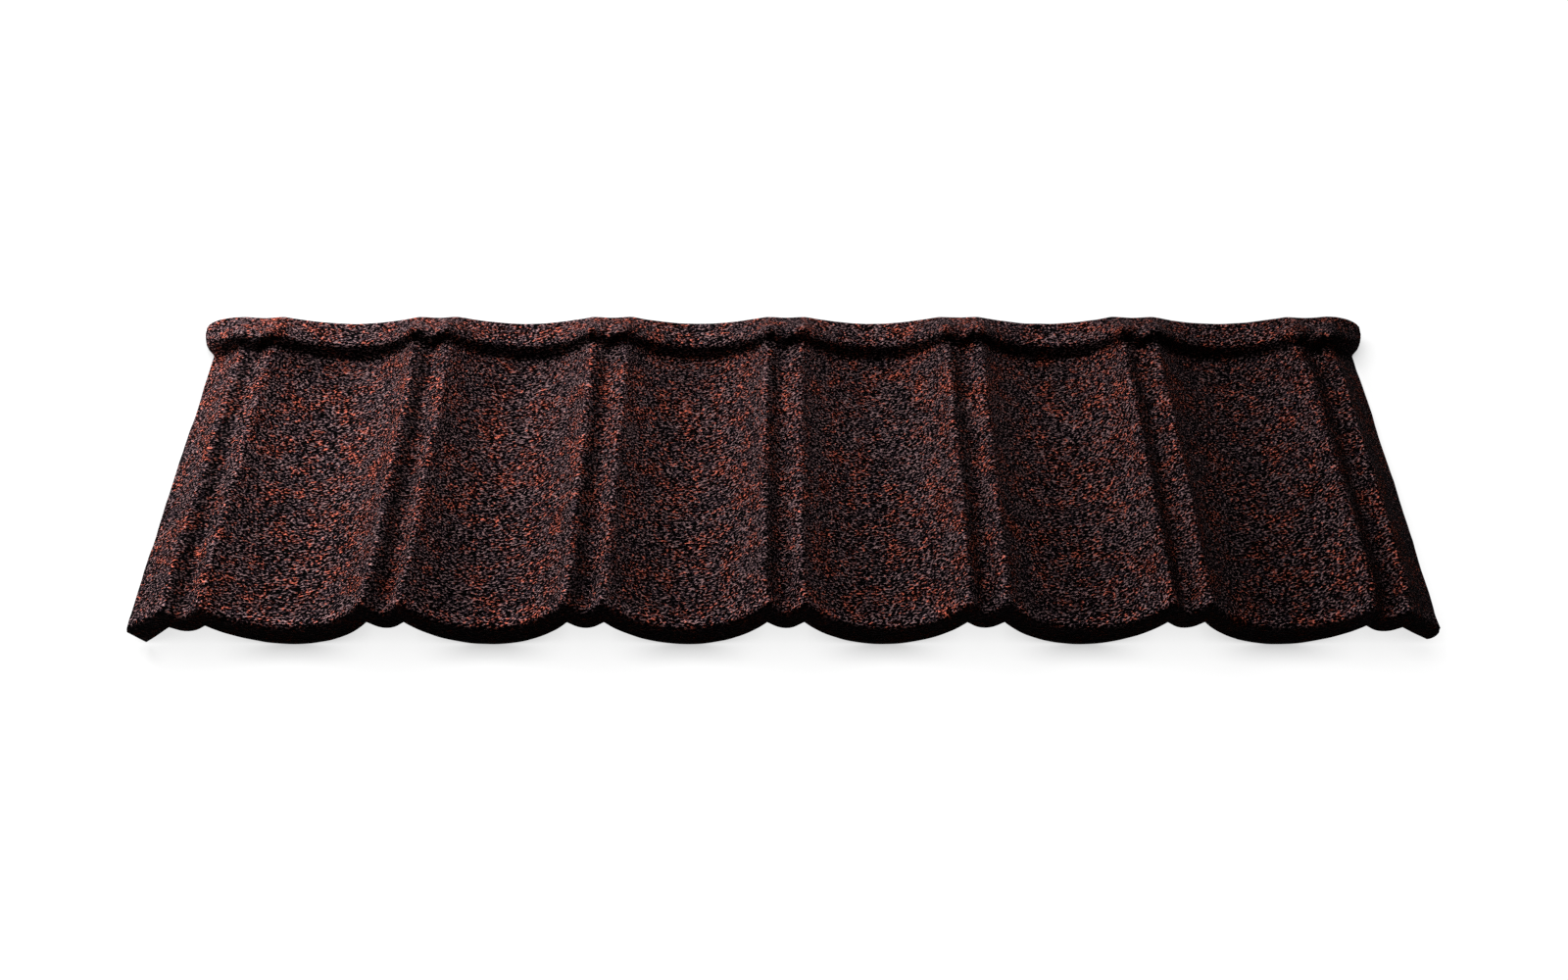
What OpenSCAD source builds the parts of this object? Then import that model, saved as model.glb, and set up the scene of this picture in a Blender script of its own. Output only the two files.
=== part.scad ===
// Stone-coated steel roofing sheet: six wide pans between seven twin-crested ribs,
// a turned-down nose along the front edge and a raised bead along the rear edge.
// The sheet lies as it rests on a level floor: on its nose rim and its rear fold.

/* [Sheet] */
// Number of wide pans between the ribs
pan_count = 6; // [3:1:8]
// Distance from the middle of one rib to the middle of the next
rib_pitch = 203; // [160:1:250]
// Length from the nose face to the foot of the rear bead, in a pan
field_len = 379; // [300:1:460]
// Thickness of the pressed sheet with its bonded stone granules
sheet_t = 1.8; // [1.2:0.1:2.4]

/* [Ribs] */
// Height of the inner ribs' crests above the pans
rib_h = 43; // [36:1:52]
// How much lower the outermost crest of each end rib is pressed
end_crest_drop = 14; // [0:1:17]
// Distance between the two crests of a rib
crest_gap = 37.6; // [31:0.2:46]
// Rounding of each crest
crest_r = 5; // [4:0.5:7]
// Depth of the groove between the crests, at the nose
groove_front = 17; // [10:1:20]
// Depth of the same groove, at the rear bead
groove_rear = 8; // [5:1:12]
// Rounding of the groove's bottom
groove_r = 5; // [4:0.5:8]

/* [Side laps] */
// Width of the left flank, from the outermost crest to the side edge
left_flank_w = 43.5; // [36:0.5:55]
// Width of the right flank
right_flank_w = 38; // [36:0.5:55]
// Height of the side edges above the pans
side_edge_h = 1; // [0:0.5:6]
// Width of the strip at each end where the nose's corner is cut and the bead curls down
end_w = 14; // [8:1:20]

/* [Nose] */
// Drop of the nose rim below the top face of the pans
nose_drop = 28.8; // [20:0.2:36]
// Outer radius of the fold between the field and the nose
nose_r = 5; // [3:0.5:7]
// Height of the inner cusps in the rim above its lowest stretches
cusp_h = 39.5; // [30:0.5:42]
// How much lower the outermost cusps are
end_cusp_drop = 9; // [0:1:12]
// Depth of the short arc in the rim between the two cusps of a rib
cusp_groove = 10; // [6:1:12]
// Depth to which the left flank's rim would run below the pans' rim at the side edge
left_rim_fall = 7; // [0:0.5:9]
// Height at which the right flank's rim would reach the side edge, above the pans' rim
right_rim_rise = 4; // [0:0.5:8]
// Distance by which the rim's ends reach past the side edges
rim_flare = 2; // [0:0.5:4]
// Drop of the nose at the side edges, below the pans, where its corners are cut
corner_drop = 7; // [6:0.5:12]

/* [Rear bead] */
// Height of the bead's front wall above the field
bead_h = 19.5; // [14:0.5:26]
// Depth of the bead from its foot in a pan to the rear edge
bead_depth = 41; // [34:1:50]
// Height of the bead's top at the rear, above the pans
rear_h = 23; // [16:0.5:28]
// Height that is left there of the ribs
rear_rib_h = 10; // [6:0.5:14]
// Distance between the two crests that are left of each rib at the rear
rear_crest_gap = 48; // [40:1:56]
// Depth that is left there of the groove between them
rear_groove = 1; // [0:0.5:2]
// Radius of the fold at the bead's foot
foot_r = 4; // [3:0.5:6]
// Radius of the bead's upper front fold
bead_r = 6; // [4:0.5:8]
// Radius of the bead's rear fold
rear_r = 5; // [4:0.5:6]
// Height of the lip that hangs from the rear fold
rear_lip = 8; // [6:0.5:12]
// Distance by which the bead's upper front fold reaches past each side edge
bead_bulge = 9; // [0:0.5:12]
// Distance by which its rear fold does
rear_bulge = 7; // [0:0.5:10]

/* [Hidden] */

crest_x = crest_gap / 2;
rib_span = pan_count * rib_pitch / 2;      // from the middle rib's place to an end rib
half_w = rib_span + crest_x + (left_flank_w + right_flank_w) / 2;
rib_shift = (left_flank_w - right_flank_w) / 2;
rear_y = field_len + bead_depth;

cusp_r = 0.4;                              // the cusps are all but sharp
cusp_arc_r = (crest_x * crest_x + cusp_groove * cusp_groove) / (2 * cusp_groove);
cusp_groove_r = 0.8 * cusp_arc_r;         // leaves a short straight beside each cusp
foot_lean = 0.28;                          // the foot and the top of the bead's front wall
bead_lean = 0.33;                          // come forward by these shares of the ribs' height
bead_rake = 6;                             // backward lean of that wall in a pan
foot_round = 9;                            // rounding of the bead's ends in plan, at its foot,
bead_round = 17;                           // along its upper front fold
rear_round = 6;                            // and at its rear edge
end_curl = 0.1;                            // share of its height by which an end curls down

crest_segs = 3;
groove_segs = 3;
pan_segs = 10;
flank_segs = 6;
strip_end = flank_segs - 2;                // point of a flank at the end strip's inner side
nose_segs = 3;
foot_segs = 2;
bead_segs = 3;
rear_segs = 2;

// ---- small helpers ------------------------------------------------------------------

function unit(v) = v / norm(v);
function mix(a, b, k) = a + (b - a) * k;

// Slope of the straight stretch between two opposed arcs whose radii add up to r (one
// may be zero), when together they run sideways by run and fall by drop.
function slope_between(r, run, drop) =
    atan2(run, r - drop) - acos(min(1, r / norm([run, r - drop])));

// Arc over the top of a crest, and arc along the bottom of a hollow, from slope a to b.
function over(x, top_z, r, a, b, segs) =
    [for (i = [0:segs]) let (s = mix(a, b, i / segs)) [x + r * sin(s), top_z - r * (1 - cos(s))]];
function under(x, low_z, r, a, b, segs) =
    [for (i = [0:segs]) let (s = mix(a, b, i / segs)) [x + r * sin(s), low_z + r * (1 - cos(s))]];

// Rounded corner at p between the ways to a and to b. Its radius gives way where the
// straight stretches beside it are too short.
function corner(a, p, b, r, segs) =
    let (u = unit(a - p), v = unit(b - p), half = acos(u * v) / 2)
    let (reach = min(r / tan(half), 0.45 * min(norm(a - p), norm(b - p))))
    let (middle = p + unit(u + v) * reach / cos(half))
    let (from = p + u * reach - middle, to = p + v * reach - middle, turn = 180 - 2 * half)
    [for (i = [0:segs]) middle
        + (sin((1 - i / segs) * turn) * from + sin(i / segs * turn) * to) / sin(turn)];

// ---- cross-sections of the sheet, from the left side edge to the right one -------------

function rib_x(i) = i * rib_pitch - rib_span;

// Share of its height that a point keeps, when the outermost crest loses the share drop.
// The loss begins at the lowest line of the last pan.
function kept(x, drop) =
    1 - drop * max(0, (abs(x) - rib_span + rib_pitch / 2) / (rib_pitch / 2 + crest_x));

// h and groove are the height of the inner crests and the depth between them, top_r and
// low_r the roundings there, and drop the outermost crest's loss of height. left_h and
// right_h are the heights of the ends, and flare is their reach past the side edges.
function cross_section(h, groove, top_r, low_r, drop, left_h, right_h, flare) =
    let (half_pan = rib_pitch / 2 - crest_x, share = drop / h)
    let (pan_r = (half_pan * half_pan + h * h) / (2 * h) - top_r)
    let (pan_a = asin(half_pan / (pan_r + top_r)))
    let (groove_a = slope_between(top_r + low_r, crest_x, groove))
    let (left = flank(left_flank_w + flare, h, top_r, left_h, share))
    let (right = flank(right_flank_w + flare, h, top_r, right_h, share))
    let (whole = concat(
        [for (p = left[1]) [-p.x, p.y]],
        [for (i = [0:pan_count]) each concat(
            over(rib_x(i) - crest_x, h, top_r, i == 0 ? -left[0] : -pan_a, groove_a, crest_segs),
            under(rib_x(i), h - groove, low_r, -groove_a, groove_a, groove_segs),
            over(rib_x(i) + crest_x, h, top_r, -groove_a, i == pan_count ? right[0] : pan_a, crest_segs),
            i == pan_count ? [] : pan_inside(rib_x(i) + rib_pitch / 2, pan_r, pan_a))],
        [for (i = [flank_segs - 1:-1:0]) right[1][i]]))
    [for (p = whole) [p.x + rib_shift, p.y * kept(p.x, share)]];

// The pan's arc without its two ends, which belong to the crests beside it.
function pan_inside(x, r, a) =
    let (arc = under(x, 0, r, -a, a, pan_segs))
    [for (i = [1:pan_segs - 1]) arc[i]];

// Distance of flank point i from the side edge. The end strip's points crowd towards that
// edge, and the last point lies half way from the strip to the crest.
function edge_distance(i, w) =
    i <= strip_end ? end_w * (1 - cos(90 * i / strip_end)) : (end_w + w) / 2;

// Slope of a flank, and its points from the side edge towards the crest.
function flank(w, h, top_r, edge_h, share) =
    let (edge = [rib_span + crest_x + w, 0] + [0, edge_h / kept(rib_span + crest_x + w, share)])
    let (a = slope_between(top_r, w, h - edge.y))
    let (top = [edge.x - w + top_r * sin(a), h - top_r * (1 - cos(a))])
    [a, [for (i = [0:flank_segs - 1]) mix(edge, top, edge_distance(i, w) / (edge.x - top.x))]];

field_front = cross_section(rib_h, groove_front, crest_r, groove_r, end_crest_drop,
    side_edge_h, side_edge_h, 0);
field_rear = cross_section(rib_h, groove_rear, crest_r, groove_r, end_crest_drop,
    side_edge_h, side_edge_h, 0);
rim = cross_section(cusp_h, cusp_groove, cusp_r, cusp_groove_r, end_cusp_drop,
    -left_rim_fall, right_rim_rise, rim_flare);

columns = len(rim);

// Height of the nose rim at column i. Its left corner is cut off straight over the whole
// end strip, and its right corner is rounded over the outer part of the strip.
function rim_z(i) =
    let (right = columns - 1 - i, round_end = strip_end - 1)
    let (cut = 1 - edge_distance(right, right_flank_w) / edge_distance(round_end, right_flank_w))
    i < strip_end
        ? mix(-corner_drop, rim[strip_end].y - nose_drop, edge_distance(i, left_flank_w) / end_w)
    : right < round_end
        ? mix(rim[columns - 1 - round_end].y - nose_drop, -corner_drop, 1 - sqrt(1 - cut * cut))
    : rim[i].y - nose_drop;

// Height that is left of the ribs at the rear edge: two low crests over each rib, and a
// long fall from each of them to the middle of the pan.
function rear_wave(x) =
    let (place = (x - rib_shift + rib_span) / rib_pitch, crest = rear_crest_gap / 2)
    let (off = rib_pitch * abs(place - min(pan_count, max(0, round(place)))))
    off < crest
        ? rear_rib_h - rear_groove * (1 + cos(180 * off / crest)) / 2
    : rear_rib_h * (1 - sin(90 * min(1, (off - crest) / (rib_pitch / 2 - crest))));

// ---- length-wise section at one column ------------------------------------------------

// One line over the sheet, from the nose rim over the field and the bead to the rear lip.
function column(i) =
    let (front = field_front[i], back = field_rear[i])
    let (end = max(0, (abs(back.x) - half_w + end_w) / end_w))
    let (round = 1 - sqrt(max(0, 1 - end * end)))
    let (full = 1 - end_curl * round)
    let (past = sign(back.x) * end)
    let (rim_p = [rim[i].x, 0, rim_z(i)])
    let (nose_p = [front.x, 0, front.y])
    let (foot_p = [back.x, field_len - foot_lean * back.y + foot_round * round, back.y])
    let (bead_y = field_len + bead_rake - bead_lean * back.y + bead_round * round)
    let (bead_p = [back.x + past * bead_bulge, bead_y, back.y + bead_h * full])
    let (rear_z = mix(back.y, rear_h + rear_wave(back.x), full))
    let (rear_p = [back.x + past * rear_bulge, rear_y - rear_round * round, rear_z])
    let (lip_p = rear_p - [0, 0, rear_lip * full])
    concat([rim_p],
        corner(rim_p, nose_p, foot_p, nose_r, nose_segs),
        corner(nose_p, foot_p, bead_p, foot_r, foot_segs),
        corner(foot_p, bead_p, rear_p, bead_r, bead_segs),
        corner(bead_p, rear_p, lip_p, rear_r, rear_segs),
        [lip_p]);

// ---- the sheet as one closed skin ------------------------------------------------------

top_face = [for (i = [0:columns - 1]) column(i)];
rows = len(top_face[0]);

// Mean direction of the two stretches that meet at b, or of the only one at an edge.
function way(a, b, c) =
    unit((a == b ? [0, 0, 0] : unit(b - a)) + (b == c ? [0, 0, 0] : unit(c - b)));

function outward(i, j) =
    let (here = top_face[i][j])
    unit(cross(
        way(top_face[max(i - 1, 0)][j], here, top_face[min(i + 1, columns - 1)][j]),
        way(top_face[i][max(j - 1, 0)], here, top_face[i][min(j + 1, rows - 1)])));

skin_points = concat(
    [for (i = [0:columns - 1]) for (j = [0:rows - 1]) top_face[i][j]],
    [for (i = [0:columns - 1]) for (j = [0:rows - 1]) top_face[i][j] - sheet_t * outward(i, j)]);

// Number of a point on the upper (side 0) or the lower (side 1) face of the skin.
function at(i, j, side) = (side * columns + i) * rows + j;
function quad(a, b, c, d) = [[a, b, c], [a, c, d]];

skin_faces = concat(
    [for (i = [0:columns - 2]) for (j = [0:rows - 2])
        each quad(at(i, j, 0), at(i, j + 1, 0), at(i + 1, j + 1, 0), at(i + 1, j, 0))],
    [for (i = [0:columns - 2]) for (j = [0:rows - 2])
        each quad(at(i, j, 1), at(i + 1, j, 1), at(i + 1, j + 1, 1), at(i, j + 1, 1))],
    [for (i = [0:columns - 2])
        each quad(at(i, 0, 0), at(i + 1, 0, 0), at(i + 1, 0, 1), at(i, 0, 1))],
    [for (i = [0:columns - 2])
        each quad(at(i, rows - 1, 0), at(i, rows - 1, 1), at(i + 1, rows - 1, 1), at(i + 1, rows - 1, 0))],
    [for (j = [0:rows - 2])
        each quad(at(0, j, 0), at(0, j, 1), at(0, j + 1, 1), at(0, j + 1, 0))],
    [for (j = [0:rows - 2])
        each quad(at(columns - 1, j, 0), at(columns - 1, j + 1, 0),
            at(columns - 1, j + 1, 1), at(columns - 1, j, 1))]);

// ---- resting pose ----------------------------------------------------------------------

// The sheet tips back until the underside of its rear fold meets the floor, while the
// inner edge of the nose rim already stands on it.
fold_run = field_len - foot_r * tan(atan2(bead_h, bead_rake) / 2) - sheet_t;
fold_rise = nose_drop + foot_r;
rest_tilt = acos((foot_r + sheet_t) / norm([fold_run, fold_rise])) - atan2(fold_run, fold_rise);
rest_lift = nose_drop * cos(rest_tilt) + sheet_t * sin(rest_tilt);
rest_front_y = -nose_drop * sin(rest_tilt);
rest_back_y = rear_y * cos(rest_tilt) + (rear_h + rear_rib_h) * sin(rest_tilt);

module roofing_sheet() {
    color("#3a2826")
        translate([0, -(rest_front_y + rest_back_y) / 2, rest_lift])
            rotate([-rest_tilt, 0, 0])
                polyhedron(skin_points, skin_faces);
}

roofing_sheet();
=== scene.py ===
"""Looks of the stone-coated roofing sheet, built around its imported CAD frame."""

import math

import bpy
import numpy as np
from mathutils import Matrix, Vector, noise


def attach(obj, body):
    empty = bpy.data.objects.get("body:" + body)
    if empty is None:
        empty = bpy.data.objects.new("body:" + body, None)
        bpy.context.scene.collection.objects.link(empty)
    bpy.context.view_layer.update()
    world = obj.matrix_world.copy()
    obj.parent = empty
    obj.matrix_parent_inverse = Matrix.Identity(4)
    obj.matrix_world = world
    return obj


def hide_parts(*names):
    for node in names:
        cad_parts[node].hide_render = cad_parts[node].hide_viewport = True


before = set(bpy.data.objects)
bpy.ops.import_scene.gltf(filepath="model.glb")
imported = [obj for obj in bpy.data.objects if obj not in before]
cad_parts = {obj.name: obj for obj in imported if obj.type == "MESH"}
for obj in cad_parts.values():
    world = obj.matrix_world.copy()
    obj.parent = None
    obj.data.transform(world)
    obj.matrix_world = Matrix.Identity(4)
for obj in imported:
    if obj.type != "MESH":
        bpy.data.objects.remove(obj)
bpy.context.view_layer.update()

MM = 0.001

# ---- sizes of the sheet in millimetres, the same as in its CAD source --------------------

PAN_COUNT = 6
RIB_PITCH = 203
FIELD_LEN = 379
SHEET_T = 1.8

RIB_H = 43
END_CREST_DROP = 14
CREST_GAP = 37.6
CREST_R = 5
GROOVE_FRONT = 17
GROOVE_REAR = 8
GROOVE_R = 5

LEFT_FLANK_W = 43.5
RIGHT_FLANK_W = 38
SIDE_EDGE_H = 1
END_W = 14

NOSE_DROP = 28.8
NOSE_R = 5
CUSP_H = 39.5
CUSP_R = 0.4
END_CUSP_DROP = 9
CUSP_GROOVE = 10
LEFT_RIM_FALL = 7
RIGHT_RIM_RISE = 4
RIM_FLARE = 2
CORNER_DROP = 7

BEAD_H = 19.5
BEAD_DEPTH = 41
BEAD_RAKE = 6
BEAD_LEAN = 0.33
BEAD_R = 6
BEAD_BULGE = 9
BEAD_ROUND = 17
FOOT_R = 4
FOOT_LEAN = 0.28
FOOT_ROUND = 9
REAR_H = 23
REAR_RIB_H = 10
REAR_CREST_GAP = 48
REAR_GROOVE = 1
REAR_R = 5
REAR_LIP = 8
REAR_BULGE = 7
REAR_ROUND = 6
END_CURL = 0.1

# ---- what only the looks show, in millimetres --------------------------------------------

RIB_SWAY = (-3, 3, 2, -4, 1, 0, 6)   # how far each rib stands to the right of its even place
SWAY_REACH = 45            # how far beside a rib the sheet follows it
SWAY_START = 40            # length over which the sway sets in at either end of the field
SWAY_FRONT = 4             # even stretch behind the nose
SWAY_REAR = 10             # even stretch before the bead
CREST_WANDER = 1.4         # slow sideways wander of the crests
WANDER_WAVE = 55
WANDER_STRETCH = (0.6, 1, 0)
NOSE_SWELL = 0.9           # low ridge just behind the nose fold
SWELL_Y = 9
SWELL_REACH = 10
PINCH_DEPTH = 6            # wrinkle where a rib's groove runs into the bead
PINCH_W = 13
PINCH_FOOT = -8            # its place beside the rib's middle at the bead's foot
PINCH_TOP = 5              # and at the bead's upper fold
PINCH_FADE = 0.6           # share of its depth that it loses on the way up
PINCH_START = 42           # how far before the bead it starts
PINCH_RUN = 30             # length over which it deepens
PUFF = 3                   # how far the walls of the bead's ends belly out
END_LIFT = 3.5             # how much fuller the bead's top is towards its ends
LIFT_INSET = 18            # distance of the fullest place from the side edge
LIFT_REACH = 30
WALL_T = 1.6               # walls that close the bead's ends
WALL_PROUD = 0.25          # how far they stand out at the bead's edge
WALL_LOW = 2               # height of their lower edge
WALL_TUCK = 5              # how far they curve in towards it
RELIEF = 0.6               # unevenness of the granule layer
RELIEF_WAVES = (15, 33)
RELIEF_SHIFT = 500         # makes its long waves unlike its short ones
RELIEF_SINK = 0.9          # sinks it, as a share, so that it stays inside the CAD box

# places and lengths along the sheet, as stations (see sheet_lines)

FIELD_FROM = 0.9           # takes in the last row of the nose fold
PINCH_END = 3.6            # where the wrinkle has died out
PUFF_AT = 2.42
PUFF_REACH = 0.17
LIFT_FROM = 2.4
LIFT_RUN = 0.6
# painted shade on the nose face and on the bead's front wall lies at these stations
NOSE_SHADE_END = 0.8
NOSE_SHADE_RUN = 0.3
WALL_SHADE_AT = 2.4
WALL_SHADE_REACH = 0.55
# painted light on the bead's top starts at these stations
BEAD_LIGHT_FROM = 2.7
BEAD_LIGHT_RUN = 0.4

# how much painted light and painted shade scale the granules' colour, as shares, and where, in
# millimetres

# painted highlight along the rib crests
CREST_HIGHLIGHT = 0.3
CREST_HIGHLIGHT_W = 5
STRIP_HIGHLIGHT = 0.6           # painted highlight on the strip just behind the nose fold
STRIP_Y = 9
STRIP_W = 9
# painted light on the bead's top
BEAD_TOP_LIGHT = 0.1
# painted shade in the rib grooves
GROOVE_SHADE = 0.6
GROOVE_SHADE_X = -9         # its middle, left of the rib's
GROOVE_SHADE_W = 11
FOLD_SHADE = 0.78           # painted shade on the nose face and the bead's front wall
FOLD_SHADE_INSET = 6        # the bead's wall has no painted shade this far from the side edge
FOLD_SHADE_RUN = 20         # length over which it darkens from there

# ---- sizes that follow from these --------------------------------------------------------

CREST_X = CREST_GAP / 2
RIB_SPAN = PAN_COUNT * RIB_PITCH / 2
HALF_W = RIB_SPAN + CREST_X + (LEFT_FLANK_W + RIGHT_FLANK_W) / 2
RIB_SHIFT = (LEFT_FLANK_W - RIGHT_FLANK_W) / 2
REAR_Y = FIELD_LEN + BEAD_DEPTH
CUSP_ARC_R = (CREST_X**2 + CUSP_GROOVE**2) / (2 * CUSP_GROOVE)
CUSP_GROOVE_R = 0.8 * CUSP_ARC_R   # leaves a short straight beside each cusp
FOLD_SHARE = 0.45          # most that a fold's rounding takes of the way to the next fold

# ---- how finely the looks divide it ------------------------------------------------------

CREST_SEGS = 5
SIDE_SEGS = 5              # straight side of a groove
GROOVE_SEGS = 6
PAN_SEGS = 48
STRIP_SEGS = 8             # end strip beside a side edge
CORNER_SEGS = 6            # those of them that round the right nose corner
FLANK_SEGS = 8             # rest of a flank
END_WALL_SEGS = 6
NOSE_ROWS = 8
FIELD_ROWS = 100
WALL_ROWS = 3
TOP_ROWS = 9
LIP_ROWS = 3
NOSE_SEGS = 5
FOOT_SEGS = 4
BEAD_SEGS = 6
REAR_SEGS = 5
BACK_STEP = 2              # the plain underside keeps one row in so many
BACK_FIELD_STEP = 4        # and one in so many along the field
NORMAL_PASSES = 6          # how often neighbouring normals are averaged

# ---- cross-sections, from the left side edge to the right one ----------------------------


def slope_between(r, run, drop):
    """Slope of the straight stretch between two opposed arcs of radii adding up to r."""
    return math.atan2(run, r - drop) - math.acos(min(1, r / math.hypot(run, r - drop)))


def arc(x, z, r, start, end, segs, up):
    """Points of an arc over a crest (up is 1) or along a hollow (up is -1)."""
    slope = np.linspace(start, end, segs + 1)
    return np.stack([x + r * np.sin(slope), z - up * r * (1 - np.cos(slope))], 1)


def between(a, b, segs):
    """Points that part the straight way from a to b, without its ends."""
    share = np.linspace(0, 1, segs + 1)[1:-1, None]
    return a + (b - a) * share


def height_share(x, drop):
    """Share of its height that a point keeps towards the lower outermost crests."""
    reach = (np.abs(x) - RIB_SPAN + RIB_PITCH / 2) / (RIB_PITCH / 2 + CREST_X)
    return 1 - drop * np.maximum(0, reach)


def strip_places():
    """Distances from the side edge, crowded towards it, over the end strip."""
    return END_W * (1 - np.cos(np.linspace(0, math.pi / 2, STRIP_SEGS + 1)))


def flank(w, h, top_r, edge_h, share):
    """Slope of a flank, and its points from the side edge up to the crest."""
    edge_x = RIB_SPAN + CREST_X + w
    edge_z = edge_h / height_share(edge_x, share)
    slope = slope_between(top_r, w, h - edge_z)
    top = np.array([edge_x - w + top_r * math.sin(slope), h - top_r * (1 - math.cos(slope))])
    edge = np.array([edge_x, edge_z])
    run = edge_x - top[0]
    inner = np.linspace(END_W, run, FLANK_SEGS + 1)[1:-1]
    places = np.concatenate([strip_places(), inner])
    return slope, edge + (top - edge) * (places / run)[:, None]


def rib(x, h, groove, top_r, low_r, left_slope, right_slope):
    """Twin crests of one rib and the groove between them."""
    side = slope_between(top_r + low_r, CREST_X, groove)
    left = arc(x - CREST_X, h, top_r, left_slope, side, CREST_SEGS, 1)
    low = arc(x, h - groove, low_r, -side, side, GROOVE_SEGS, -1)
    low[:, 0] = 2 * x - low[::-1, 0]
    right = arc(x + CREST_X, h, top_r, -side, right_slope, CREST_SEGS, 1)
    return [
        left,
        between(left[-1], low[0], SIDE_SEGS),
        low,
        between(low[-1], right[0], SIDE_SEGS),
        right,
    ]


def cross_section(h, groove, top_r, low_r, drop, left_h, right_h, flare):
    """Whole width of the sheet at one place along it, as points (x, z)."""
    half_pan = RIB_PITCH / 2 - CREST_X
    pan_r = (half_pan**2 + h**2) / (2 * h) - top_r
    pan_slope = math.asin(half_pan / (pan_r + top_r))
    share = drop / h
    left_slope, left = flank(LEFT_FLANK_W + flare, h, top_r, left_h, share)
    right_slope, right = flank(RIGHT_FLANK_W + flare, h, top_r, right_h, share)
    parts = [left * [-1, 1]]
    for i in range(PAN_COUNT + 1):
        x = i * RIB_PITCH - RIB_SPAN
        first = -left_slope if i == 0 else -pan_slope
        last = right_slope if i == PAN_COUNT else pan_slope
        parts += rib(x, h, groove, top_r, low_r, first, last)
        if i < PAN_COUNT:
            pan = arc(x + RIB_PITCH / 2, 0, pan_r, -pan_slope, pan_slope, PAN_SEGS, -1)
            parts.append(pan[1:-1])
    parts.append(right[::-1])
    whole = np.concatenate(parts)
    whole[:, 1] *= height_share(whole[:, 0], share)
    whole[:, 0] += RIB_SHIFT
    return whole


def field_section(groove):
    """Cross-section of the field, with rib grooves of the given depth."""
    return cross_section(
        RIB_H, groove, CREST_R, GROOVE_R, END_CREST_DROP, SIDE_EDGE_H, SIDE_EDGE_H, 0
    )


def rim_section():
    """Lower edge of the nose, with cusps below the crests and its corners taken off."""
    rim = cross_section(
        CUSP_H, CUSP_GROOVE, CUSP_R, CUSP_GROOVE_R, END_CUSP_DROP,
        -LEFT_RIM_FALL, RIGHT_RIM_RISE, RIM_FLARE,
    )
    rim[:, 1] -= NOSE_DROP
    places = strip_places()
    # the left corner is cut straight
    share = places / END_W
    rim[: STRIP_SEGS + 1, 1] = -CORNER_DROP + (rim[STRIP_SEGS, 1] + CORNER_DROP) * share
    # and the right one is rounded
    cut = 1 - places[:CORNER_SEGS] / places[CORNER_SEGS]
    start = rim[-1 - CORNER_SEGS, 1]
    rounded = start - (CORNER_DROP + start) * (1 - np.sqrt(1 - cut**2))
    rim[-CORNER_SEGS:, 1] = rounded[::-1]
    return rim


def from_rib(x):
    """Signed distance of a place across the sheet from the middle of the nearest rib."""
    place = (x - RIB_SHIFT + RIB_SPAN) / RIB_PITCH
    return RIB_PITCH * (place - np.clip(np.round(place), 0, PAN_COUNT))


def rear_wave(x):
    """Height that is left of the ribs at the rear edge."""
    off = np.abs(from_rib(x))
    crest = REAR_CREST_GAP / 2
    over = REAR_RIB_H - REAR_GROOVE * (1 + np.cos(math.pi * np.minimum(1, off / crest))) / 2
    fall = np.clip((off - crest) / (RIB_PITCH / 2 - crest), 0, 1)
    return np.where(off < crest, over, REAR_RIB_H * (1 - np.sin(math.pi / 2 * fall)))


# ---- length-wise lines -------------------------------------------------------------------


def unit(v):
    return v / np.linalg.norm(v, axis=-1, keepdims=True)


def corner(a, p, b, r, segs):
    """Rounded corners at the points p, between the ways to a and to b."""
    u, v = unit(a - p), unit(b - p)
    half = np.arccos(np.clip((u * v).sum(1, keepdims=True), -1, 1)) / 2
    room = np.minimum(np.linalg.norm(a - p, axis=1), np.linalg.norm(b - p, axis=1))
    reach = np.minimum(r / np.tan(half), FOLD_SHARE * room[:, None])
    middle = p + unit(u + v) * reach / np.cos(half)
    turn = math.pi - 2 * half
    first, last = p + u * reach - middle, p + v * reach - middle
    rows = []
    for share in np.linspace(0, 1, segs + 1):
        way = np.sin((1 - share) * turn) * first + np.sin(share * turn) * last
        rows.append(middle + way / np.sin(turn))
    return rows


def straight(a, b, segs):
    """Rows that part the way from a to b, without its ends."""
    return [a + (b - a) * i / segs for i in range(1, segs)]


def points(x, y, z):
    """Points in one array, from arrays or single numbers for their coordinates."""
    return np.stack(np.broadcast_arrays(x, y, z), 1).astype(float)


def fold_lines():
    """Rim, nose fold, bead's foot, bead's upper fold, rear fold and lip, before rounding."""
    front = field_section(GROOVE_FRONT)
    rim = rim_section()
    x, z = field_section(GROOVE_REAR).T
    end = np.maximum(0, (np.abs(x) - HALF_W + END_W) / END_W)
    curve = 1 - np.sqrt(np.maximum(0, 1 - end**2))
    full = 1 - END_CURL * curve
    past = np.sign(x) * end
    bead_y = FIELD_LEN + BEAD_RAKE - BEAD_LEAN * z + BEAD_ROUND * curve
    rear_z = z + (REAR_H + rear_wave(x) - z) * full
    rear = points(x + past * REAR_BULGE, REAR_Y - REAR_ROUND * curve, rear_z)
    return (
        points(rim[:, 0], 0, rim[:, 1]),
        points(front[:, 0], 0, front[:, 1]),
        points(x, FIELD_LEN - FOOT_LEAN * z + FOOT_ROUND * curve, z),
        points(x + past * (BEAD_BULGE - 2 * WALL_PROUD), bead_y, z + BEAD_H * full),
        rear,
        rear - points(0, 0, REAR_LIP * full),
    )


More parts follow.
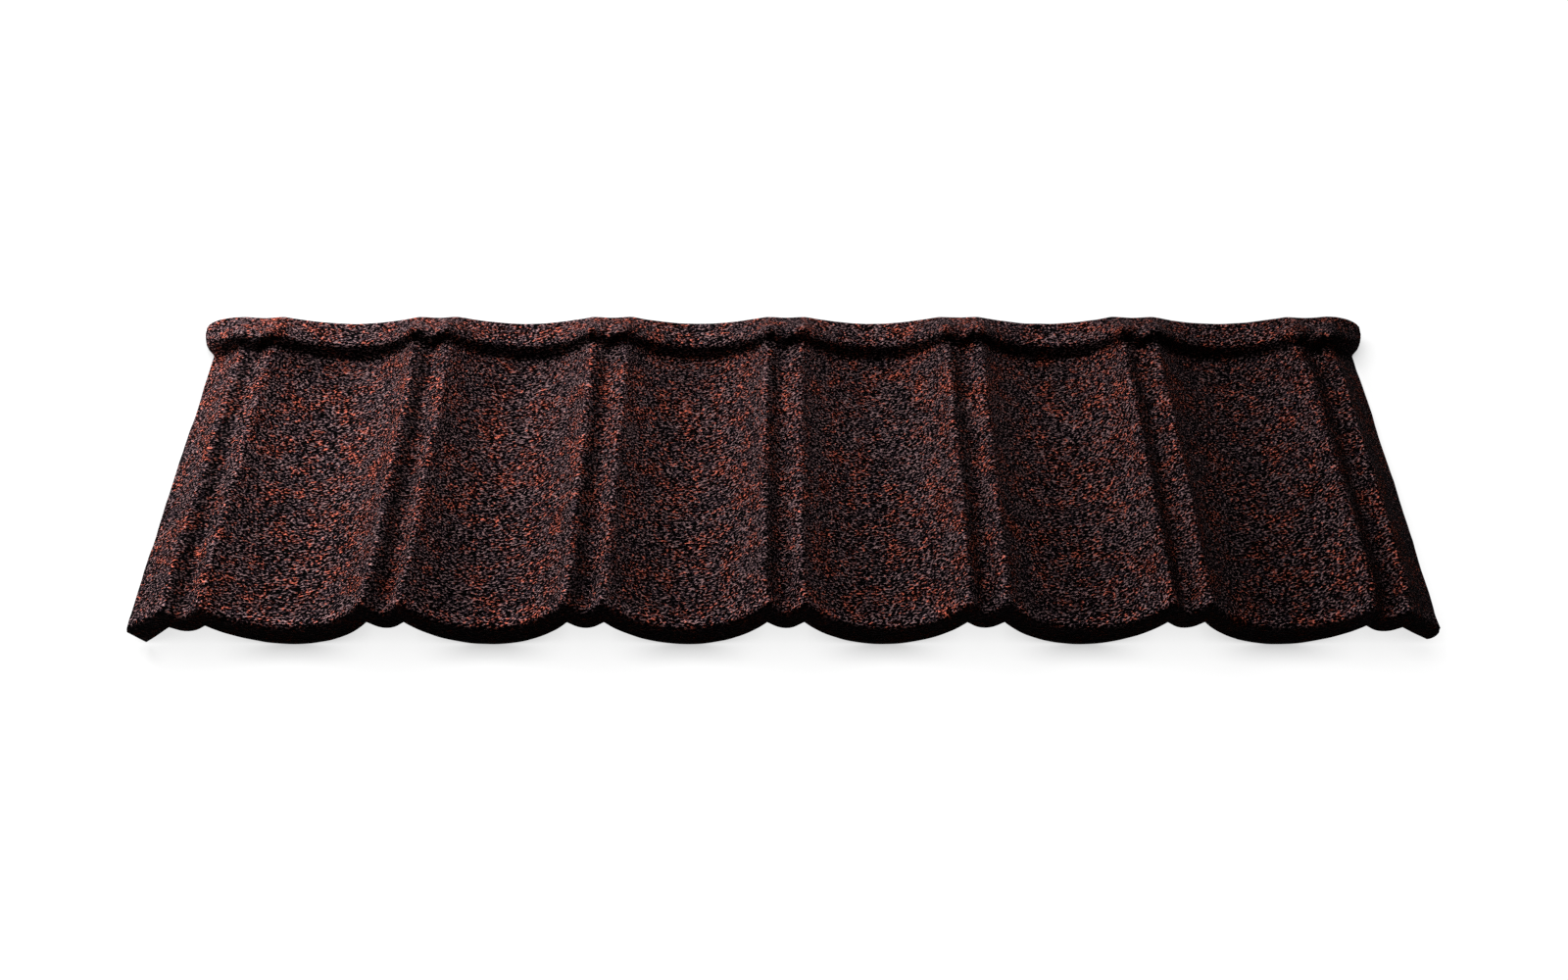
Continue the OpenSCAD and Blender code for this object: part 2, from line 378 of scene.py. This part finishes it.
def sheet_lines():
    """Top face of the sheet, from the nose rim to the rear lip, and its rows' stations.

    The face is an array [row, column, xyz]. A station is 0 at the nose rim, 1 and 2 at the
    field's ends, 3 and 4 at the ends of the bead's top, and 5 at the lip.
    """
    rim, nose_fold, foot_fold, bead_fold, rear_fold, lip = fold_lines()
    nose = corner(rim, nose_fold, foot_fold, NOSE_R, NOSE_SEGS)
    foot = corner(nose_fold, foot_fold, bead_fold, FOOT_R, FOOT_SEGS)
    bead = corner(foot_fold, bead_fold, rear_fold, BEAD_R, BEAD_SEGS)
    rear = corner(bead_fold, rear_fold, lip, REAR_R, REAR_SEGS)
    stretches = [
        [rim] + straight(rim, nose[0], NOSE_ROWS) + nose[:-1],
        [nose[-1]] + straight(nose[-1], foot[0], FIELD_ROWS),
        foot + straight(foot[-1], bead[0], WALL_ROWS) + bead[:-1],
        [bead[-1]] + straight(bead[-1], rear[0], TOP_ROWS),
        rear + straight(rear[-1], lip, LIP_ROWS) + [lip],
    ]
    grid = np.array([row for rows in stretches for row in rows])
    station = [k + i / len(rows) for k, rows in enumerate(stretches) for i in range(len(rows))]
    return grid, np.array(station)[:, None]


# ---- unevenness of the real sheet --------------------------------------------------------


def smooth(v):
    """0 to 1 without a kink at either end."""
    v = np.clip(v, 0, 1)
    return v * v * (3 - 2 * v)


def hump(v):
    """Round hump of height 1 at 0, which ends at -1 and 1."""
    return np.cos(math.pi / 2 * np.clip(v, -1, 1)) ** 2


def noise_at(place, period):
    """Soft noise from about -1 to 1 at each point of a grid."""
    flat = (place / period).reshape(-1, 3)
    values = [noise.noise(Vector(point)) for point in flat.tolist()]
    return np.array(values).reshape(place.shape[:-1])


def sway(grid):
    """Sideways shift of the ribs and crests from their even places."""
    x, y, _ = np.moveaxis(grid, -1, 0)
    front = smooth((y - SWAY_FRONT) / SWAY_START)
    rear = smooth((FIELD_LEN - SWAY_REAR - y) / SWAY_START)
    shift = CREST_WANDER * noise_at(grid * WANDER_STRETCH, WANDER_WAVE)
    for i, amount in enumerate(RIB_SWAY):
        off = x - RIB_SHIFT + RIB_SPAN - i * RIB_PITCH
        shift += amount * np.exp(-((off / SWAY_REACH) ** 2))
    return shift * (front * rear)


def pinch(x, y, station):
    """Depth of the wrinkles where the ribs' grooves run into the bead."""
    up = np.clip(station - 2, 0, 1)
    middle = PINCH_FOOT + (PINCH_TOP - PINCH_FOOT) * up
    depth = PINCH_DEPTH * (1 - PINCH_FADE * up)
    reach = smooth((y - FIELD_LEN + PINCH_START) / PINCH_RUN) * smooth(PINCH_END - station)
    return depth * reach * hump((from_rib(x) - middle) / PINCH_W)


def puff(x, station):
    """How far the walls of the bead's ends belly out."""
    end = np.clip((np.abs(x) - HALF_W + END_W) / END_W, 0, 1)
    return PUFF * end**2 * hump((station - PUFF_AT) / PUFF_REACH) * np.sign(x)


def swell(y, z, station):
    """Height of the low ridge behind the nose fold, which dies out up the ribs."""
    ridge = NOSE_SWELL * hump((y - SWELL_Y) / SWELL_REACH)
    return ridge * (station > FIELD_FROM) * np.clip(1 - z / RIB_H, 0, 1)


def lift(x, station):
    """How much fuller the bead's top is towards its ends."""
    beside = hump((np.abs(x) - HALF_W + LIFT_INSET) / LIFT_REACH)
    return END_LIFT * beside * smooth((station - LIFT_FROM) / LIFT_RUN)


def uneven(grid, station):
    """Gives the even pressing its swayed ribs, wrinkles, swell and fuller bead ends."""
    x, y, z = np.moveaxis(grid, -1, 0)
    moved_x = x + sway(grid) + puff(x, station)
    moved_y = y - pinch(x, y, station)
    moved_z = z + swell(y, z, station) + lift(x, station)
    return np.stack([moved_x, moved_y, moved_z], -1)


def outward(grid):
    """Unit normals of a grid of points, on its upper side."""
    along = np.gradient(grid, axis=0)
    across = np.gradient(grid, axis=1)
    return unit(np.cross(across, along))


def at_rest(grid):
    """Moves points from the sheet's own frame to where the CAD sheet lies on the floor."""
    turn = math.atan2(BEAD_H, BEAD_RAKE) / 2
    run = FIELD_LEN - FOOT_R * math.tan(turn) - SHEET_T
    rise = NOSE_DROP + FOOT_R
    tilt = math.acos((FOOT_R + SHEET_T) / math.hypot(run, rise)) - math.atan2(run, rise)
    c, s = math.cos(tilt), math.sin(tilt)
    front_y = -NOSE_DROP * s
    back_y = REAR_Y * c + (REAR_H + REAR_RIB_H) * s
    x, y, z = np.moveaxis(grid, -1, 0)
    moved_y = y * c + z * s - (front_y + back_y) / 2
    moved_z = z * c - y * s + NOSE_DROP * c + SHEET_T * s
    return np.stack([x, moved_y, moved_z], -1) * MM


# ---- the sheet's mesh --------------------------------------------------------------------

FACE, BACK = 0, 1          # material slots


class Skin:
    """Points and faces of one mesh, gathered grid by grid."""

    def __init__(self):
        self.points = []
        self.faces = []
        self.slots = []
        self.count = 0

    def add_points(self, grid):
        """Adds a grid of points and returns their numbers in the same layout."""
        number = self.count + np.arange(grid[..., 0].size).reshape(grid.shape[:-1])
        self.points.append(grid.reshape(-1, 3))
        self.count += number.size
        return number

    def add_faces(self, faces, slot=FACE):
        self.faces += faces
        self.slots += [slot] * len(faces)

    def cover(self, number, slot=FACE, flip=False):
        """Adds the faces between neighbouring points of a grid."""
        faces = np.stack([number[:-1, :-1], number[:-1, 1:], number[1:, 1:], number[1:, :-1]], -1)
        faces = faces.reshape(-1, 4)
        self.add_faces((faces[:, ::-1] if flip else faces).tolist(), slot)

    def close(self, upper, lower, kept_rows):
        """Closes the four edges between an upper grid and a lower one with fewer rows."""
        top, low = upper.tolist(), lower.tolist()
        for i in range(len(top[0]) - 1):
            self.add_faces([
                [top[0][i], low[0][i], low[0][i + 1], top[0][i + 1]],
                [top[-1][i + 1], low[-1][i + 1], low[-1][i], top[-1][i]],
            ])
        for k, (a, b) in enumerate(zip(kept_rows, kept_rows[1:])):
            left = [top[j][0] for j in range(a, b + 1)]
            right = [top[j][-1] for j in range(b, a - 1, -1)]
            self.add_faces([
                left + [low[k + 1][0], low[k][0]],
                right + [low[k][-1], low[k + 1][-1]],
            ])


def spread_normals(grid):
    """Outward directions that turn gently where the sheet is folded sharply."""
    normals = outward(grid)
    for _ in range(NORMAL_PASSES):
        mean = normals.copy()
        mean[:, 1:-1] += (normals[:, :-2] + normals[:, 2:]) / 2
        normals = unit(mean)
    return normals


def granule_layer(base):
    """Upper face of the pressed sheet with the relief of its granules."""
    short, long = RELIEF_WAVES
    waves = (noise_at(base, short) + noise_at(base + RELIEF_SHIFT, long)) / 2
    return base + spread_normals(base) * (RELIEF * (waves - RELIEF_SINK))[..., None]


def underside_rows(station):
    """Numbers of the rows that the plainer underside has too."""
    on_field = (station[:, 0] > 1) & (station[:, 0] < 2)
    steps = np.where(on_field, BACK_FIELD_STEP, BACK_STEP)
    return [i for i, step in enumerate(steps) if i % step == 0 or i == len(steps) - 1]


def add_sheet(skin, top, low, rows):
    """Adds the sheet itself, with its upper face, underside and edges."""
    upper = skin.add_points(top)
    lower = skin.add_points(low)
    skin.cover(upper)
    skin.cover(lower, BACK, flip=True)
    skin.close(upper, lower, rows)


def end_wall(edge, side):
    """Outer face of the wall that closes the bead's open end, below its edge line."""
    turn = np.linspace(0, math.pi / 2, END_WALL_SEGS + 1)[None, :]
    x, y, z = (edge[:, k, None] for k in range(3))
    low = np.minimum(z - 1, WALL_LOW)
    wall_x = x + side * (WALL_PROUD - WALL_TUCK * (1 - np.cos(turn)))
    return np.stack(np.broadcast_arrays(wall_x, y, z - (z - low) * np.sin(turn)), -1)


def add_end_wall(skin, edge, side):
    """Adds the wall that closes one end of the bead: side is -1 at the left, 1 at the right."""
    outer = end_wall(edge, side)
    inner = outer - [side * WALL_T, 0, 0]
    shown, hidden = skin.add_points(outer), skin.add_points(inner)
    skin.cover(shown, flip=side < 0)
    skin.cover(hidden, BACK, flip=side > 0)
    if side < 0:
        shown, hidden = hidden, shown
    skin.close(shown, hidden, range(len(shown)))


def painted_light_and_shade(even, station):
    """Colour level of painted light: painted highlights on crests, behind the nose fold and on
    the bead's top; painted shade in folds and grooves.
    """
    x, y, _ = np.moveaxis(even, -1, 0)
    off = from_rib(x)
    field = (station > FIELD_FROM) * (station < 2)
    crest = np.exp(-(((np.abs(off) - CREST_X) / CREST_HIGHLIGHT_W) ** 2)) * field
    strip = hump((y - STRIP_Y) / STRIP_W) * field
    bead = smooth((station - BEAD_LIGHT_FROM) / BEAD_LIGHT_RUN)
    # painted highlights on the crests, behind the nose fold and on the bead's top
    highlight = CREST_HIGHLIGHT * crest + STRIP_HIGHLIGHT * strip + BEAD_TOP_LIGHT * bead
    # painted shade on the nose face, the bead's front wall and in the grooves
    inside = smooth((HALF_W - FOLD_SHADE_INSET - np.abs(x)) / FOLD_SHADE_RUN)
    nose_face = smooth((NOSE_SHADE_END - station) / NOSE_SHADE_RUN)
    bead_wall = inside * hump((station - WALL_SHADE_AT) / WALL_SHADE_REACH)
    groove = hump((off - GROOVE_SHADE_X) / GROOVE_SHADE_W) * field
    return (1 + highlight) * (1 - FOLD_SHADE * (nose_face + bead_wall)) * (1 - GROOVE_SHADE * groove)


def build_sheet(name, materials):
    """The whole sheet as one object, with materials for its upper face and its underside."""
    even, station = sheet_lines()
    base = uneven(even, station)
    rows = underside_rows(station)
    low = uneven(even - SHEET_T * spread_normals(even), station)[rows]
    # the lip hangs straight down, so the last line of each wall already runs along it
    bead = base[station[:, 0] >= 2][:-LIP_ROWS]
    skin = Skin()
    add_sheet(skin, granule_layer(base), low, rows)
    add_end_wall(skin, bead[:, 0], -1)
    add_end_wall(skin, bead[:, -1], 1)

    mesh = bpy.data.meshes.new(name)
    mesh.from_pydata(at_rest(np.concatenate(skin.points)).tolist(), [], skin.faces)
    mesh.shade_smooth()
    for material in materials:
        mesh.materials.append(material)
    mesh.polygons.foreach_set("material_index", skin.slots)
    # the tone attribute holds the painted highlights and painted shade of the sheet's top
    tone = np.ones(skin.count)
    painted = painted_light_and_shade(even, station)
    tone[: painted.size] = painted.ravel()
    mesh.attributes.new("tone", "FLOAT", "POINT").data.foreach_set("value", tone)
    piece = bpy.data.objects.new(name, mesh)
    bpy.context.scene.collection.objects.link(piece)
    return piece


# ---- materials ---------------------------------------------------------------------------

# sizes of the patterns, in metres

STROKE = 0.002             # short strokes of granules
GRIT = 0.0012
LUMP = 0.0034
SWIRL = 0.006
BLOTCH = 0.026
BEND_WAVE = 0.014          # length over which the strokes bend
BEND = 0.002               # and how far
BUMP_HEIGHT = 0.012
SPANGLE = 0.009
STAIN = 0.08

STROKE_TURN = math.radians(-28)
STROKE_STRETCH = (0.6, 1, 1)

# how much each pattern counts for

STROKE_TONE = 0.85
GRIT_TONE = 0.15
SWIRL_TONE = 0.1
GRIT_HEIGHT = 0.12         # beside the strokes' 1
SWIRL_HEIGHT = 0.25
BLOTCH_MOTTLE = 0.7        # beside the lumps' 1
GRIT_ROUGHNESS = 0.3
SPANGLE_TONE = 0.35
STAIN_TONE = 0.65
SPANGLE_ROUGHNESS = 0.15

# brick-red granules: the mottle or blotch above which they appear, and how fast they do

FLECK_FROM = 0.90
FLECK_GAIN = 12.0
FLECK_SHARE = 0.8          # most that a fleck is brick red
WARM_FROM = 0.43
WARM_GAIN = 0.8

# granule colours along the strokes' height: their own charcoal and pink-brown, with painted shade
# in the gaps and painted highlights on the tops
GRANULE_TONES_AND_SHADE = [
    (0.44, (0.001, 0.001, 0.001)),
    (0.485, (0.014, 0.009, 0.013)),
    (0.53, (0.040, 0.025, 0.033)),
    (0.58, (0.106, 0.066, 0.074)),
    (0.65, (0.310, 0.188, 0.188)),
]
BRICK = (2.7, 1.0, 0.62, 1)    # what brick-red granules make of those tones
STEEL_TONES = [(0.2, (0.10, 0.105, 0.10)), (0.8, (0.21, 0.215, 0.20))]

# reaches of the floor's soft shadow, in metres, and how much light each can take away
FLOOR_SHADE = ((0.03, 0.5), (0.05, 0.2), (0.09, 0.3))
FLOOR_LEAST = 0.02         # light that is left where they take away all of theirs
FLOOR_SHOWN = (0.15, 0.15, 0.15, 1)    # the part that the lamps light, for the camera
FLOOR_BOUNCE = (0.2, 0.2, 0.2, 1)      # the whole floor, for bounced light


class Nodes:
    """Short ways to add nodes and links to the tree of one material or world."""

    def __init__(self, owner):
        owner.use_nodes = True
        self.tree = owner.node_tree
        self.tree.nodes.clear()

    def add(self, kind, inputs=None, **settings):
        node = self.tree.nodes.new("ShaderNode" + kind)
        for key, value in settings.items():
            setattr(node, key, value)
        for key, value in (inputs or {}).items():
            self.set(node.inputs[key], value)
        return node

    def set(self, socket, value):
        if isinstance(value, bpy.types.NodeSocket):
            self.tree.links.new(value, socket)
        else:
            socket.default_value = value

    def maths(self, operation, *values, clamp=False):
        node = self.add("Math", operation=operation, use_clamp=clamp)
        for socket, value in zip(node.inputs, values):
            self.set(socket, value)
        return node.outputs[0]

    def vector(self, operation, inputs):
        return self.add("VectorMath", inputs, operation=operation).outputs[0]

    def plus(self, a, b, weight):
        """a and so many times b."""
        return self.maths("ADD", a, self.maths("MULTIPLY", b, weight))

    def above(self, value, start, gain, clamp=True):
        """How far a value stands above its start, times a gain."""
        return self.maths("MULTIPLY", self.maths("SUBTRACT", value, start), gain, clamp=clamp)

    def ramp(self, value, stops):
        node = self.add("ValToRGB", {"Fac": value})
        elements = node.color_ramp.elements
        while len(elements) < len(stops):
            elements.new(0.5)
        for element, (place, colour) in zip(elements, stops):
            element.position = place
            element.color = (*colour, 1)
        return node.outputs["Color"]

    def mix(self, share, a, b, blend="MIX"):
        """Colour between a and b; this node's colours are its inputs 6 and 7 and its output 2."""
        node = self.add("Mix", {0: share, 6: a, 7: b}, data_type="RGBA", blend_type=blend)
        return node.outputs[2]

    def noise(self, vector, period, detail=1.0, roughness=0.5, out="Fac"):
        inputs = {"Vector": vector, "Scale": 1 / period, "Detail": detail, "Roughness": roughness}
        return self.add("TexNoise", inputs).outputs[out]

    def seen(self):
        """1 for the rays that show the background: from the camera, off gloss, through glass."""
        path = self.add("LightPath").outputs
        either = self.maths("MAXIMUM", path["Is Camera Ray"], path["Is Glossy Ray"])
        return self.maths("MAXIMUM", either, path["Is Transmission Ray"])


def stroke_place(nodes, place):
    """Texture place in which noise becomes short, slightly bent strokes across the sheet."""
    bend = nodes.noise(place, BEND_WAVE, out="Color")
    bend = nodes.vector("SUBTRACT", {0: bend, 1: (0.5, 0.5, 0.5)})
    bend = nodes.vector("SCALE", {0: bend, "Scale": BEND})
    bent = nodes.vector("ADD", {0: place, 1: bend})
    turn = {"Vector": bent, "Rotation": (0, 0, STROKE_TURN), "Scale": STROKE_STRETCH}
    return nodes.add("Mapping", turn).outputs[0]


def granule_colour(nodes, place, along, stroke, grit, swirl):
    """Charcoal brown strokes with painted shade in their gaps and painted highlights on their
    tops, and brick-red flecks that gather in patches.
    """
    tone = nodes.plus(nodes.maths("MULTIPLY", stroke, STROKE_TONE), grit, GRIT_TONE)
    tone = nodes.maths("ADD", tone, nodes.above(swirl, 0.5, SWIRL_TONE, clamp=False))
    base = nodes.ramp(tone, GRANULE_TONES_AND_SHADE)
    blotch = nodes.noise(place, BLOTCH, detail=2.0, roughness=0.6)
    mottle = nodes.plus(nodes.noise(along, LUMP), blotch, BLOTCH_MOTTLE)
    fleck = nodes.maths("MULTIPLY", nodes.above(mottle, FLECK_FROM, FLECK_GAIN), FLECK_SHARE)
    share = nodes.maths("ADD", fleck, nodes.above(blotch, WARM_FROM, WARM_GAIN), clamp=True)
    colour = nodes.mix(share, base, nodes.mix(1.0, base, BRICK, "MULTIPLY"))
    # the tone attribute scales the colour by its painted highlights and painted shade
    painted_level = nodes.add("Attribute", attribute_name="tone").outputs["Fac"]
    return nodes.vector("SCALE", {0: colour, "Scale": painted_level})


def stone_coating():
    """Bonded stone granules: charcoal brown, flecked with brick red, without gloss."""
    material = bpy.data.materials.new("stone_coating")
    nodes = Nodes(material)
    place = nodes.add("TexCoord").outputs["Object"]
    along = stroke_place(nodes, place)
    stroke = nodes.noise(along, STROKE, detail=0.0)
    grit = nodes.noise(place, GRIT)
    swirl = nodes.noise(along, SWIRL)
    height = nodes.plus(nodes.plus(stroke, grit, GRIT_HEIGHT), swirl, SWIRL_HEIGHT)
    bump = nodes.add("Bump", {"Height": height, "Strength": 1.0, "Distance": BUMP_HEIGHT})
    shader = nodes.add("BsdfPrincipled", {
        "Base Color": granule_colour(nodes, place, along, stroke, grit, swirl),
        "Roughness": nodes.plus(0.7, grit, GRIT_ROUGHNESS),
        "Specular IOR Level": 0.01,
        "Normal": bump.outputs[0],
    })
    nodes.add("OutputMaterial", {"Surface": shader.outputs[0]})
    return material


def steel_underside():
    """Zinc-coated steel under a thin olive-grey primer."""
    material = bpy.data.materials.new("steel_underside")
    nodes = Nodes(material)
    place = nodes.add("TexCoord").outputs["Object"]
    spangle = nodes.add("TexVoronoi", {"Vector": place, "Scale": 1 / SPANGLE}).outputs["Color"]
    grey = nodes.add("SeparateColor", {"Color": spangle}).outputs[0]
    stain = nodes.noise(place, STAIN, detail=4.0, roughness=0.6)
    tone = nodes.plus(nodes.maths("MULTIPLY", grey, SPANGLE_TONE), stain, STAIN_TONE)
    shader = nodes.add("BsdfPrincipled", {
        "Base Color": nodes.ramp(tone, STEEL_TONES),
        "Metallic": 0.6,
        "Roughness": nodes.plus(0.38, grey, SPANGLE_ROUGHNESS),
    })
    nodes.add("OutputMaterial", {"Surface": shader.outputs[0]})
    return material


def pale_floor():
    """White to the camera but for the object's shadow, and dull grey to bounced light."""
    material = bpy.data.materials.new("pale_floor")
    nodes = Nodes(material)
    light = FLOOR_LEAST
    for reach, share in FLOOR_SHADE:
        sky = nodes.add("AmbientOcclusion", {"Distance": reach}).outputs["AO"]
        light = nodes.plus(light, sky, share)
    glow = nodes.add("Emission", {"Strength": light})
    shade = nodes.add("BsdfDiffuse", {"Color": FLOOR_SHOWN})
    white = nodes.add("AddShader", {0: glow.outputs[0], 1: shade.outputs[0]})
    dull = nodes.add("BsdfDiffuse", {"Color": FLOOR_BOUNCE})
    both = nodes.add("MixShader", {0: nodes.seen(), 1: dull.outputs[0], 2: white.outputs[0]})
    nodes.add("OutputMaterial", {"Surface": both.outputs[0]})
    return material


# ---- stage, lights and camera, in metres -------------------------------------------------

FLOOR_HALF = 6.0
WORLD_FILL = 0.015
CAMERA_PLACE = (0.001, -1.0152, 1.4122)
CAMERA_TILT = math.radians(35.28)
CAMERA_LENS = 35.95


def add_floor():
    half = FLOOR_HALF
    corners = [(-half, -half, 0), (half, -half, 0), (half, half, 0), (-half, half, 0)]
    mesh = bpy.data.meshes.new("floor")
    mesh.from_pydata(corners, [], [(0, 1, 2, 3)])
    mesh.materials.append(pale_floor())
    floor = bpy.data.objects.new("floor", mesh)
    bpy.context.scene.collection.objects.link(floor)


def add_world():
    """White background, and a faint fill light on the object."""
    world = bpy.data.worlds.new("studio")
    nodes = Nodes(world)
    ends = {"Value": nodes.seen(), "To Min": WORLD_FILL, "To Max": 1.0}
    strength = nodes.add("MapRange", ends).outputs[0]
    light = nodes.add("Background", {"Color": (1, 1, 1, 1), "Strength": strength})
    nodes.add("OutputWorld", {"Surface": light.outputs[0]})
    bpy.context.scene.world = world


def add_lamp(name, place, target, width, depth, power):
    lamp = bpy.data.lights.new(name, "AREA")
    lamp.shape = "RECTANGLE"
    lamp.size = width
    lamp.size_y = depth
    lamp.energy = power
    holder = bpy.data.objects.new(name, lamp)
    holder.location = place
    holder.rotation_euler = (Vector(target) - Vector(place)).to_track_quat("-Z", "Y").to_euler()
    bpy.context.scene.collection.objects.link(holder)


def add_camera():
    camera = bpy.data.cameras.new("camera")
    camera.lens = CAMERA_LENS
    holder = bpy.data.objects.new("camera", camera)
    holder.location = CAMERA_PLACE
    holder.rotation_euler = (CAMERA_TILT, 0, 0)
    bpy.context.scene.collection.objects.link(holder)
    bpy.context.scene.camera = holder


# ---- the scene ---------------------------------------------------------------------------

bpy.context.scene.view_settings.view_transform = "Standard"
add_camera()
add_floor()
add_world()
add_lamp("key", (-1.2, 0.7, 0.5), (0, 0, 0), width=0.5, depth=0.5, power=20)
add_lamp("strip", (-0.4, 0.4, 0.7), (-0.4, 0, 0), width=1.6, depth=0.3, power=9)

sheet = build_sheet("stone_sheet", [stone_coating(), steel_underside()])
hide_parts("roofing_sheet")
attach(sheet, "root")
